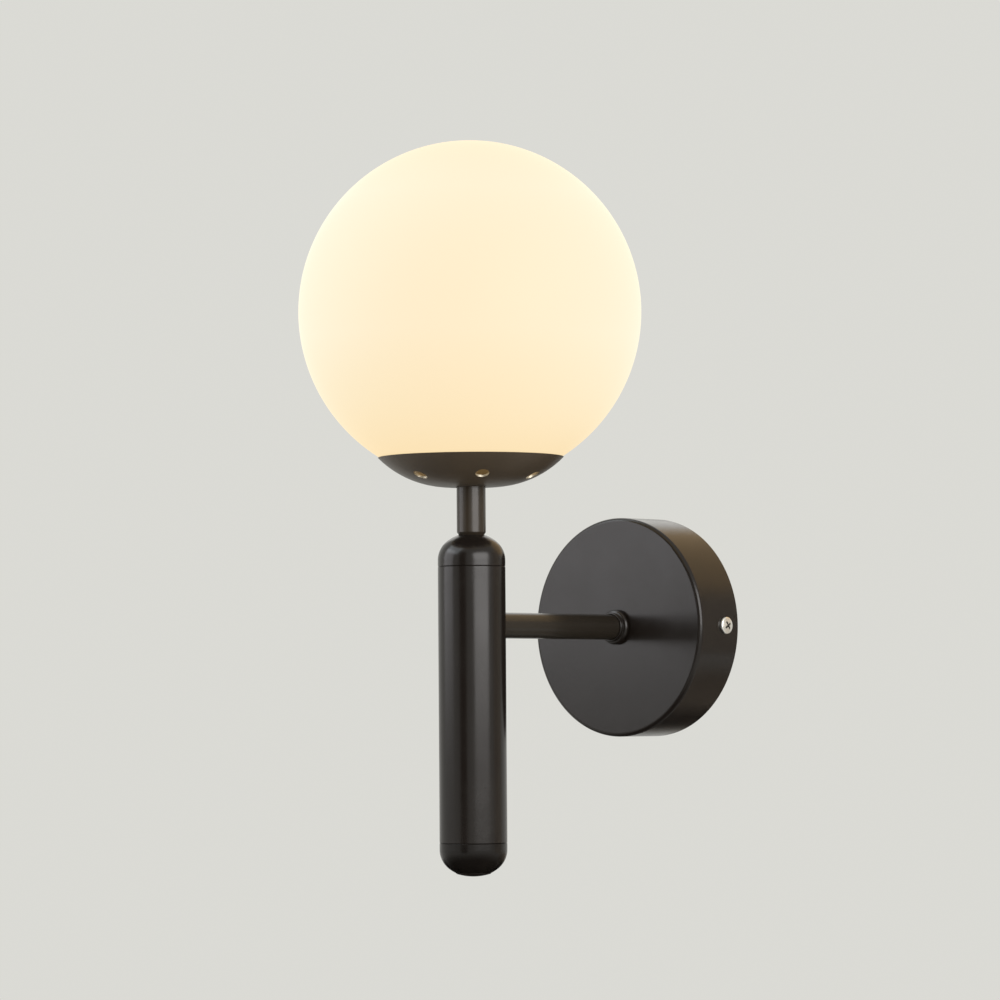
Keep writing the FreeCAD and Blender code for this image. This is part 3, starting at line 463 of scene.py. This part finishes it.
finishes = {
    "black_coat": blackCoat("blackCoat", coat["colour"]),
    "plug_coat": blackCoat("plugCoat", coat["plugColour"]),
    "zinc_steel": plainMetal("zincSteel", rgb(0.60, 0.60, 0.58), rgb(0.48, 0.48, 0.45)),
    "nickel_screw": plainMetal("nickelScrew", rgb(0.86, 0.85, 0.81), rgb(0.76, 0.75, 0.71), (0.26, 0.38)),
    "brass": plainMetal("brassMetal", rgb(0.72, 0.52, 0.24), rgb(0.58, 0.40, 0.17)),
    "tinned_copper": plainMetal("tinnedCopper", rgb(0.68, 0.66, 0.62), rgb(0.58, 0.54, 0.49)),
    "spring_steel": plainMetal("springSteel", rgb(0.42, 0.41, 0.40), rgb(0.30, 0.29, 0.28)),
    "bulb_cap_metal": plainMetal("bulbCapMetal", rgb(0.78, 0.77, 0.74), rgb(0.66, 0.65, 0.62)),
    "terminal_screw_steel": plainMetal("terminalScrewSteel", rgb(0.60, 0.60, 0.58), rgb(0.5, 0.5, 0.47)),
    "opal_glass": opalGlass("opalGlass"),
    "bulb_opal_plastic": litPlastic("bulbOpalPlastic"),
    "holder_black": plainPlastic("holderBlack", rgb(0.020, 0.020, 0.020), rgb(0.030, 0.029, 0.028)),
    "holder_ceramic": plainPlastic("holderCeramic", rgb(0.80, 0.78, 0.73), rgb(0.70, 0.68, 0.62), (0.5, 0.7)),
    "bulb_black_glass": plainPlastic("bulbBlackGlass", rgb(0.012, 0.012, 0.014), rgb(0.02, 0.02, 0.02),
                                     (0.1, 0.2)),
    "bulb_white_plastic": plainPlastic("bulbWhitePlastic", rgb(0.84, 0.83, 0.80), rgb(0.78, 0.77, 0.73),
                                       (0.25, 0.4)),
    "block_plastic": plainPlastic("blockPlastic", rgb(0.76, 0.75, 0.70), rgb(0.68, 0.66, 0.60), (0.4, 0.55)),
    "live_brown": plainPlastic("liveBrown", rgb(0.11, 0.040, 0.018), rgb(0.09, 0.032, 0.014), (0.35, 0.45)),
    "neutral_blue": plainPlastic("neutralBlue", rgb(0.018, 0.075, 0.30), rgb(0.014, 0.06, 0.25), (0.35, 0.45)),
    "earth_green_yellow": stripedWire("earthGreenYellow"),
}

slotOf = {part["node"]: part["material_slot"] for part in frame["record"]["subparts"]}
for name, item in nodes.items():
    item.data.materials.clear()
    item.data.materials.append(finishes[slotOf[name]])

# pieces whose finish differs from the rest of their slot
ownFinishes = {
    # painted light: the dish, stem and arm coats are lit copies of the coat, lighter and warmer; painted shade:
    # the bottom cap's coat is darker
    "dish": dishLitCoat("dishLitCoat"),
    "stem": blackCoat("stemLitCoat", coat["stemLitColour"]),
    "arm": blackCoat("armLitCoat", coat["armLitColour"]),
    "bottom_cap": blackCoat("footShadedCoat", coat["footShadeColour"], coat["footSpecular"]),
    "wall_bracket": zincSheet("zincSheet"),
    "holder_base": plainPlastic("brownPhenolic", rgb(0.24, 0.18, 0.10), rgb(0.20, 0.15, 0.08)),
}
for name, material in ownFinishes.items():
    nodes[name].data.materials[0] = material
print("finishes made:", len(finishes) + len(ownFinishes))


# modelling helpers

def named(name):
    item = bpy.context.object
    item.name = name
    item.data.name = name
    return item


def selectOnly(item):
    if bpy.context.object and bpy.context.object.mode != "OBJECT":
        bpy.ops.object.mode_set(mode="OBJECT")
    bpy.ops.object.select_all(action="DESELECT")
    item.select_set(True)
    bpy.context.view_layer.objects.active = item


def settle(item):
    selectOnly(item)
    bpy.ops.object.transform_apply(location=True, rotation=True, scale=True)


def edit(item):
    selectOnly(item)
    bpy.ops.object.mode_set(mode="EDIT")


def modify(item, kind, **settings):
    selectOnly(item)
    modifier = item.modifiers.new(kind, kind)
    for name, setting in settings.items():
        setattr(modifier, name, setting)
    bpy.ops.object.modifier_apply(modifier=modifier.name)


def smooth(item, angle):
    selectOnly(item)
    bpy.ops.object.shade_smooth_by_angle(angle=radians(angle))


def pick(item, kind, wanted):
    # in edit mode: selects the faces or edges whose middle fits the test
    mesh = bmesh.from_edit_mesh(item.data)
    bpy.ops.mesh.select_mode(type=kind)
    bpy.ops.mesh.select_all(action="DESELECT")
    if kind == "FACE":
        chosen = [face for face in mesh.faces if wanted(face.calc_center_median(), face.normal)]
    else:
        chosen = [edge for edge in mesh.edges if wanted((edge.verts[0].co + edge.verts[1].co) / 2, edge)]
    for element in chosen:
        element.select = True
    mesh.select_flush(True)
    bmesh.update_edit_mesh(item.data)


def dress(item, slot, body, replaced):
    if not item.data.materials:
        item.data.materials.append(finishes[slot])
    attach(item, body)
    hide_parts(replaced)


# opal glass globe: a sphere cut open below, given its wall and a rounded mouth
globe = {
    "radius": 75.0 * mm,
    "wall": 2.5 * mm,
    "mouthRadius": 33.0 * mm,
    "lipRound": 0.9 * mm,
    "lipSteps": 4,
    "segments": 160,
    "rings": 96,
    "slack": 0.1 * mm,             # how far off the mouth's radius its edges may lie
    "level": 0.01 * mm,            # and how far off level
}


def makeGlobe():
    centreZ = globeTop - globe["radius"]
    cutZ = centreZ - sqrt(globe["radius"] ** 2 - globe["mouthRadius"] ** 2)
    bpy.ops.mesh.primitive_uv_sphere_add(segments=globe["segments"], ring_count=globe["rings"],
                                         radius=globe["radius"], location=(lampX, lampY, centreZ))
    item = named("globe_glass")
    settle(item)
    edit(item)
    bpy.ops.mesh.select_all(action="SELECT")
    bpy.ops.mesh.bisect(plane_co=(lampX, lampY, cutZ), plane_no=(0, 0, 1), clear_inner=True)
    bpy.ops.object.mode_set(mode="OBJECT")
    modify(item, "SOLIDIFY", thickness=globe["wall"], offset=-1.0)
    edit(item)

    def onLip(spot, edge):
        across = Vector((spot.x - lampX, spot.y - lampY)).length
        level = abs(edge.verts[0].co.z - edge.verts[1].co.z) < globe["level"]
        low = spot.z < cutZ + globe["wall"]
        return level and low and across < globe["mouthRadius"] + globe["slack"] and len(edge.link_faces) == 2
    pick(item, "EDGE", onLip)
    bpy.ops.mesh.bevel(offset=globe["lipRound"], segments=globe["lipSteps"], profile=0.5)
    bpy.ops.object.mode_set(mode="OBJECT")
    smooth(item, 40)
    return item


dress(makeGlobe(), "opal_glass", "globe_shade", "globe")
print("globe made")


def turned(name, rings, sides, hollow=False):
    # a round piece built ring on ring along Z: each ring is (radius, height)
    radius, height = rings[0]
    bpy.ops.mesh.primitive_circle_add(vertices=sides, radius=radius, location=(0, 0, height),
                                      fill_type="NOTHING" if hollow else "NGON")
    item = named(name)
    settle(item)
    edit(item)
    bpy.ops.mesh.select_mode(type="VERT")
    bpy.ops.mesh.select_all(action="SELECT")
    for nextRadius, nextHeight in rings[1:]:
        bpy.ops.mesh.extrude_region_move(TRANSFORM_OT_translate={"value": (0, 0, nextHeight - height)})
        share = nextRadius / radius
        bpy.ops.transform.resize(value=(share, share, 1), center_override=(0, 0, nextHeight))
        radius, height = nextRadius, nextHeight
    if hollow:
        bpy.ops.mesh.select_all(action="DESELECT")
        bpy.ops.mesh.select_mode(type="EDGE")
        bpy.ops.mesh.select_non_manifold()
        bpy.ops.mesh.bridge_edge_loops()
    bpy.ops.mesh.select_all(action="SELECT")
    bpy.ops.mesh.normals_make_consistent(inside=False)
    bpy.ops.object.mode_set(mode="OBJECT")
    return item


def carve(item, tool):
    # the cut's walls take the tool's finish
    modify(item, "BOOLEAN", operation="DIFFERENCE", solver="EXACT", object=tool, material_mode="TRANSFER")
    bpy.data.objects.remove(tool)


# pan-head screws through the canopy's sides, each with a cross recess turned its own way
sideScrew = {
    "headRadius": 3.85 * mm,
    "headHeight": 1.80 * mm,
    "edgeBreak": (0.15 * mm, 0.12 * mm),    # width and height, under the head
    "edgeHeight": 0.60 * mm,       # where the head's round edge starts
    "roundWidth": 0.75 * mm,
    "roundRise": 0.62,             # share of the height above that edge
    "roundSteps": 6,
    "crown": (0.85, 0.65, 0.4, 0.15),       # rings on the flat crown, as shares of its radius
    "threadRadius": 2.0 * mm,
    "rootRadius": 1.65 * mm,
    "tip": 0.8,                    # the tip's radius, as a share of the root's
    "pitch": 0.7 * mm,
    "flanks": (0.1, 0.5, 0.9),     # root, crest and root again, as shares of the pitch
    "length": 8.0 * mm,
    "sides": 72,
    "turns": {1: 33, -1: 12},      # degrees, right screw and left screw
}
recess = {
    "length": 4.7 * mm,
    "width": 0.95 * mm,
    "depth": 1.35 * mm,
    "foot": (0.25, 0.65),          # its length and width at its foot, as shares
    "proud": 0.02 * mm,            # the cutter starts above the head
    # painted shade: the recess's walls are dark steel, as the shade deep in it
    "steel": plainMetal("recessShadeSteel", rgb(0.20, 0.19, 0.17), rgb(0.13, 0.125, 0.115), (0.5, 0.65)),
}


def crossBlade(turn):
    # widest at the top, so its middle, at the head's face, has the size that is asked for
    long, wide = recess["foot"]
    bpy.ops.mesh.primitive_cube_add(size=1, location=(0, 0, 0))
    blade = named("blade")
    blade.scale = (recess["length"] * (2 - long), recess["width"] * (2 - wide), recess["depth"] * 2)
    settle(blade)
    edit(blade)
    pick(blade, "FACE", lambda spot, normal: normal.z < -0.9)
    bpy.ops.transform.resize(value=(long / (2 - long), wide / (2 - wide), 1), center_override=(0, 0, 0))
    bpy.ops.object.mode_set(mode="OBJECT")
    blade.rotation_euler.z = radians(turn)
    blade.location.z = sideScrew["headHeight"] + recess["proud"]
    settle(blade)
    # painted shade: the recess's walls take the dark steel
    blade.data.materials.append(recess["steel"])
    return blade


def threadRings():
    root, crest, pitch = sideScrew["rootRadius"], sideScrew["threadRadius"], sideScrew["pitch"]
    height = -sideScrew["length"]
    rings = [(root * sideScrew["tip"], height)]
    while height < -pitch:
        rings += [(radius, height + share * pitch)
                  for radius, share in zip((root, crest, root), sideScrew["flanks"])]
        height += pitch
    return rings + [(root, 0)]


def headRings():
    head, edgeHeight = sideScrew["headRadius"], sideScrew["edgeHeight"]
    breakWidth, breakHeight = sideScrew["edgeBreak"]
    rings = [(head - breakWidth, 0), (head, breakHeight), (head, edgeHeight)]
    roundWidth, steps = sideScrew["roundWidth"], sideScrew["roundSteps"]
    roundHeight = sideScrew["roundRise"] * (sideScrew["headHeight"] - edgeHeight)
    for step in range(1, steps + 1):
        angle = radians(90 / steps * step)
        rings.append((head - roundWidth * (1 - cos(angle)), edgeHeight + roundHeight * sin(angle)))
    crown = head - roundWidth
    crownFoot = edgeHeight + roundHeight
    for share in sideScrew["crown"]:
        rings.append((crown * share, crownFoot + (sideScrew["headHeight"] - crownFoot) * (1 - share ** 2)))
    return rings


def makeSideScrew(name, side):
    item = turned(name, threadRings() + headRings(), sideScrew["sides"])
    item.data.materials.append(finishes["nickel_screw"])
    for extra in (0, 90):
        carve(item, crossBlade(sideScrew["turns"][side] + extra))
    low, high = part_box("canopy_screws")
    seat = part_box("canopy")[1][0]
    item.rotation_euler.y = radians(90 * side)
    item.location = (side * seat, (low[1] + high[1]) / 2, (low[2] + high[2]) / 2)
    settle(item)
    smooth(item, 32)
    return item


for name, side in (("side_screw_right", 1), ("side_screw_left", -1)):
    dress(makeSideScrew(name, side), "nickel_screw", "lamp_frame", "canopy_screws")
print("side screws made")

# ring where the arm meets the canopy: a round bead, then a thin lip against the arm
collar = {
    "bore": 5.75 * mm,
    "footRadius": 7.00 * mm,
    "beadMiddle": (6.50 * mm, 1.45 * mm),
    "beadRadius": 1.40 * mm,
    "beadArc": (-60, 88, 12),      # degrees from and to, from level outwards, and steps
    "groove": (6.35 * mm, 3.05 * mm),
    "lipMiddle": (6.15 * mm, 4.25 * mm),
    "lipRadius": 0.50 * mm,
    "lipArc": (-40, 150, 9),
    "sides": 96,
}


def bow(middle, radius, arc):
    # rings along an arc
    start, stop, steps = arc
    angles = [radians(start + (stop - start) * step / steps) for step in range(steps + 1)]
    return [(middle[0] + radius * cos(angle), middle[1] + radius * sin(angle)) for angle in angles]


def makeCollar():
    rings = [(collar["bore"], 0), (collar["footRadius"], 0)]
    rings += bow(collar["beadMiddle"], collar["beadRadius"], collar["beadArc"])
    rings.append(collar["groove"])
    rings += bow(collar["lipMiddle"], collar["lipRadius"], collar["lipArc"])
    rings.append((collar["bore"], collar["lipMiddle"][1]))
    item = turned("collar_ring", rings, collar["sides"], hollow=True)
    low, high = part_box("arm_collar")
    item.rotation_euler.x = radians(90)
    item.location = ((low[0] + high[0]) / 2, high[1], (low[2] + high[2]) / 2)
    settle(item)
    smooth(item, 45)
    return item


dress(makeCollar(), "black_coat", "lamp_frame", "arm_collar")
print("collar made")

# lampholder sleeve: grip ribs round its foot, a plain skirt above and a rounded mouth
sleeve = {
    "footRadius": 12.6 * mm,
    "footSteps": ((0, 0), (0.3, 0.3), (0.3, 1.2), (0, 1.4), (0, 2.0)),      # mm out, and mm up from the foot
    "ribFoot": 2.0 * mm,
    "ribTop": 0.30,                # share of the height that the ribs take
    "ribSteps": ((-0.1, 0), (-0.35, 0.3)),  # mm out, and mm up from the ribs' top
    "ribRise": 0.38 * mm,
    "ribEvery": 3,                 # one side in this many is a rib
    "mouthRadius": 11.7 * mm,
    "mouthSteps": ((0.1, -2.2), (0.1, -0.6), (-0.1, -0.2), (-0.5, 0)),      # mm out, and mm up from the mouth
    "boreRadius": 8.7 * mm,
    "boreBreak": 0.4 * mm,
    "innerRadius": 7.75 * mm,
    "ledge": 0.80,                 # height of the step in the bore, as a share
    "wall": 2.0 * mm,              # ribs start this far outside the bore
    "sides": 120,
}


def stepped(radius, height, steps):
    return [(radius + out * mm, height + up * mm) for out, up in steps]


def makeSleeve():
    low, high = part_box("holder_sleeve")
    foot, mouth = low[2], high[2]
    ribLow, ribHigh = foot + sleeve["ribFoot"], foot + sleeve["ribTop"] * (mouth - foot)
    bore, chamfer, inner = sleeve["boreRadius"], sleeve["boreBreak"], sleeve["innerRadius"]
    ledge = foot + sleeve["ledge"] * (mouth - foot)
    rings = stepped(sleeve["footRadius"], foot, sleeve["footSteps"])
    rings += stepped(sleeve["footRadius"], ribHigh, sleeve["ribSteps"])
    rings += stepped(sleeve["mouthRadius"], mouth, sleeve["mouthSteps"])
    rings += [(bore + chamfer, mouth), (bore, mouth - chamfer), (bore, ledge + chamfer),
              (inner, ledge), (inner, foot)]
    item = turned("holder_skirt", rings, sleeve["sides"], hollow=True)
    edit(item)

    def onRib(spot, normal):
        outside = Vector((spot.x, spot.y)).length > bore + sleeve["wall"]
        side = int((atan2(spot.y, spot.x) / (2 * pi) + 1) * sleeve["sides"])
        return ribLow < spot.z < ribHigh and outside and side % sleeve["ribEvery"] == 0
    pick(item, "FACE", onRib)
    bpy.ops.mesh.extrude_region_shrink_fatten(TRANSFORM_OT_shrink_fatten={"value": sleeve["ribRise"]})
    bpy.ops.object.mode_set(mode="OBJECT")
    item.location = (lampX, lampY, 0)
    settle(item)
    smooth(item, 30)
    return item


dress(makeSleeve(), "holder_black", "lamp_frame", "holder_sleeve")
print("sleeve made")

# camera: fitted to the photograph
view = {
    "azimuth": radians(42.65),
    "elevation": radians(-2.85),
    "roll": radians(-0.413),
    "distance": 1.932,
    "target": Vector((-38.6, -61.4, 58.0)) * mm,
    "focal": 4.263,                # focal length in picture widths
    "sensor": 36.0,
    "reach": 50.0,
}


def makeCamera():
    data = bpy.data.cameras.new("camera")
    item = bpy.data.objects.new("camera", data)
    bpy.context.scene.collection.objects.link(item)
    turn, lift = view["azimuth"], view["elevation"]
    back = Vector((sin(turn) * cos(lift), -cos(turn) * cos(lift), sin(lift)))
    right = Vector((cos(turn), sin(turn), 0))
    up = back.cross(right)
    tiltedRight = right * cos(view["roll"]) + up * sin(view["roll"])
    axes = Matrix((tiltedRight, back.cross(tiltedRight), back)).transposed().to_4x4()
    item.matrix_world = Matrix.Translation(view["target"] + back * view["distance"]) @ axes
    data.sensor_width = view["sensor"]
    data.sensor_fit = "HORIZONTAL"
    data.lens = view["focal"] * view["sensor"]
    data.clip_end = view["reach"]
    bpy.context.scene.camera = item


# studio: pale surroundings, and a pale floor well below the lamp that fades into them
studio = {
    "background": rgb(0.706, 0.703, 0.664),
    "ambient": rgb(1.0, 0.95, 0.88),
    "ambientStrength": 0.26,
    "aim": Vector((lampX, lampY, 0.03)),    # what the cards and lamps face
    "cardGrain": 8.0,
}
floor = {
    "drop": 0.24,                  # below the lamp's lowest point
    "radius": 1.1,
    "sides": 96,
    "grainScale": 6.0,
    "lit": (rgb(0.76, 0.73, 0.67), rgb(0.72, 0.69, 0.63)),          # what lights the lamp from below
    "shown": (rgb(0.22, 0.21, 0.190), rgb(0.20, 0.19, 0.172)),      # what is seen, under its glow
    "glow": 0.80,
    "far": (rgb(0.0, 0.0, 0.0), rgb(0.004, 0.004, 0.004)),
    "fade": (0.4, 0.98),           # shares of the radius
    "roughness": 0.9,
    "specular": 0.1,
}


def lookedAt(paint):
    # 1 where a surface is seen directly, in a reflection or through glass
    paths = paint.add("ShaderNodeLightPath")
    mirrored = paint.math("MAXIMUM", paths.out("Is Camera Ray"), paths.out("Is Glossy Ray"))
    return paint.math("MAXIMUM", mirrored, paths.out("Is Transmission Ray"))


def makeWorld():
    world = bpy.data.worlds.new("studio")
    bpy.context.scene.world = world
    paint = Paint("studio", world)
    light = paint.add("ShaderNodeBackground", {}, {"Color": studio["ambient"],
                                                   "Strength": studio["ambientStrength"]}).out(0)
    shown = paint.add("ShaderNodeBackground", {}, {"Color": studio["background"]}).out(0)
    paint.add("ShaderNodeOutputWorld", {}, {"Surface": paint.layer(lookedAt(paint), light, shown)})


def makeFloor():
    middleX, middleY = lampX, lampY / 2
    bpy.ops.mesh.primitive_circle_add(vertices=floor["sides"], radius=floor["radius"], fill_type="NGON",
                                      location=(middleX, middleY, cadBox[0][2] - floor["drop"]))
    item = named("floor")
    settle(item)
    paint = Paint("paleFloor")
    grain = paint.noise(paint.place(), floor["grainScale"])
    lit = paint.surface({
        "Base Color": paint.blend(grain, *floor["lit"]),
        "Roughness": floor["roughness"],
    })
    shown = paint.surface({
        "Base Color": paint.blend(grain, *floor["shown"]),
        "Roughness": floor["roughness"],
        "Specular IOR Level": floor["specular"],
        "Emission Color": studio["background"],
        "Emission Strength": floor["glow"],
    })
    far = paint.surface({
        "Base Color": paint.blend(grain, *floor["far"]),
        "Roughness": 1.0,
        "Specular IOR Level": 0.0,
        "Emission Color": studio["background"],
        "Emission Strength": 1.0,
    })
    fadeFrom, fadeTo = floor["fade"]
    fade = paint.ramp(paint.across(paint.place(), middleX, middleY),
                      floor["radius"] * fadeFrom, floor["radius"] * fadeTo)
    item.data.materials.append(paint.output(paint.layer(lookedAt(paint), lit, paint.layer(fade, shown, far))))


def swung(values):
    # where a card or lamp stands: degrees to the right of the camera, degrees up, and metres off
    turn, lift = view["azimuth"] + radians(values["turn"]), radians(values["lift"])
    return studio["aim"] + Vector((sin(turn) * cos(lift), -cos(turn) * cos(lift), sin(lift))) * values["distance"]


# cards that show only in reflections: what the coat mirrors beside, behind and below the lamp
# a card's fade runs between two distances from its middle, in shares of its size
dark = (rgb(0.004, 0.004, 0.004), rgb(0.006, 0.006, 0.006))
cards = {
    "darkCard": {"turn": -31, "lift": 0, "distance": 1.2, "size": (0.52, 1.7), "colours": dark},
    "greyCard": {"turn": 95, "lift": 0, "distance": 1.2, "size": (0.76, 1.3),
                 "colours": (rgb(0.74, 0.65, 0.54), rgb(0.78, 0.69, 0.58))},
    "lowCard": {"turn": 0, "lift": -90, "distance": 0.21, "size": (0.60, 0.60), "fade": (0.15, 0.5),
                "colours": dark},
    "wallCard": {"turn": 135, "lift": -35, "distance": 0.55, "size": (0.80, 0.40), "fade": (0.25, 0.5),
                 "colours": (rgb(0.28, 0.23, 0.18), rgb(0.32, 0.27, 0.21))},
    # the warm card glows: a painted warm reflection in the coat, seen only in reflections
    "warmCard": {"turn": 130, "lift": 30, "distance": 0.9, "size": (1.1, 0.75), "fade": (0.30, 0.5),
                 "colours": (rgb(0.50, 0.36, 0.20), rgb(0.46, 0.33, 0.18)), "glow": rgb(0.66, 0.47, 0.27)},
    "behindCard": {"turn": 180, "lift": -42, "distance": 0.45, "size": (0.80, 0.26), "fade": (0.3, 0.5),
                   "colours": dark},
}


def makeCard(name, values):
    bpy.ops.mesh.primitive_plane_add(size=1, location=(0, 0, 0))
    card = named(name)
    card.scale = (*values["size"], 1)
    card.location = swung(values)
    card.rotation_euler = (studio["aim"] - card.location).to_track_quat("Z", "Y").to_euler()
    settle(card)
    paint = Paint(name)
    face = paint.surface({
        "Base Color": paint.blend(paint.noise(paint.place(), studio["cardGrain"]), *values["colours"]),
        "Roughness": 1.0,
        "Specular IOR Level": 0.0,
        "Emission Color": values.get("glow", rgb(0.0, 0.0, 0.0)),
        "Emission Strength": 1.0,
    })
    if "fade" in values:
        across = paint.across(paint.add("ShaderNodeTexCoord").out("UV"), 0.5, 0.5)
        clear = paint.add("ShaderNodeBsdfTransparent").out(0)
        face = paint.layer(paint.ramp(across, *values["fade"]), face, clear)
    card.data.materials.append(paint.output(face))
    card.visible_camera = False
    card.visible_shadow = False
    card.visible_diffuse = False


# soft lamps, placed as the cards are
lamps = {
    "leftLamp": {"turn": -87, "lift": 17, "distance": 0.85, "size": (0.62, 0.60), "glow": 2.2,
                 "colour": (0.97, 0.955, 1.0)},
    "rightLamp": {"turn": 33.5, "lift": 14, "distance": 0.90, "size": (0.86, 0.56), "glow": 5.2,
                  "colour": (1.0, 0.975, 0.965)},
    "fillLamp": {"turn": -78, "lift": 50, "distance": 1.3, "size": (1.2, 1.2), "glow": 2.4,
                 "colour": (0.86, 0.94, 1.0)},
    "backLamp": {"turn": 180, "lift": 35, "distance": 1.4, "size": (1.0, 1.0), "glow": 0.7,
                 "colour": (1.0, 0.97, 0.93)},
    "topLamp": {"turn": -20, "lift": 70, "distance": 1.6, "size": (1.0, 1.0), "glow": 0.25,
                "colour": (1.0, 0.97, 0.93)},
}


def makeLamp(name, values):
    light = bpy.data.lights.new(name, "AREA")
    light.shape = "RECTANGLE"
    light.size, light.size_y = values["size"]
    light.energy = values["glow"] * pi * light.size * light.size_y
    light.color = values["colour"]
    item = bpy.data.objects.new(name, light)
    bpy.context.scene.collection.objects.link(item)
    item.location = swung(values)
    item.rotation_euler = (studio["aim"] - item.location).to_track_quat("-Z", "Y").to_euler()
    item.visible_camera = False


makeCamera()
makeWorld()
makeFloor()
for name, values in cards.items():
    makeCard(name, values)
for name, values in lamps.items():
    makeLamp(name, values)
bpy.context.scene.view_settings.view_transform = "Standard"
print("studio made")
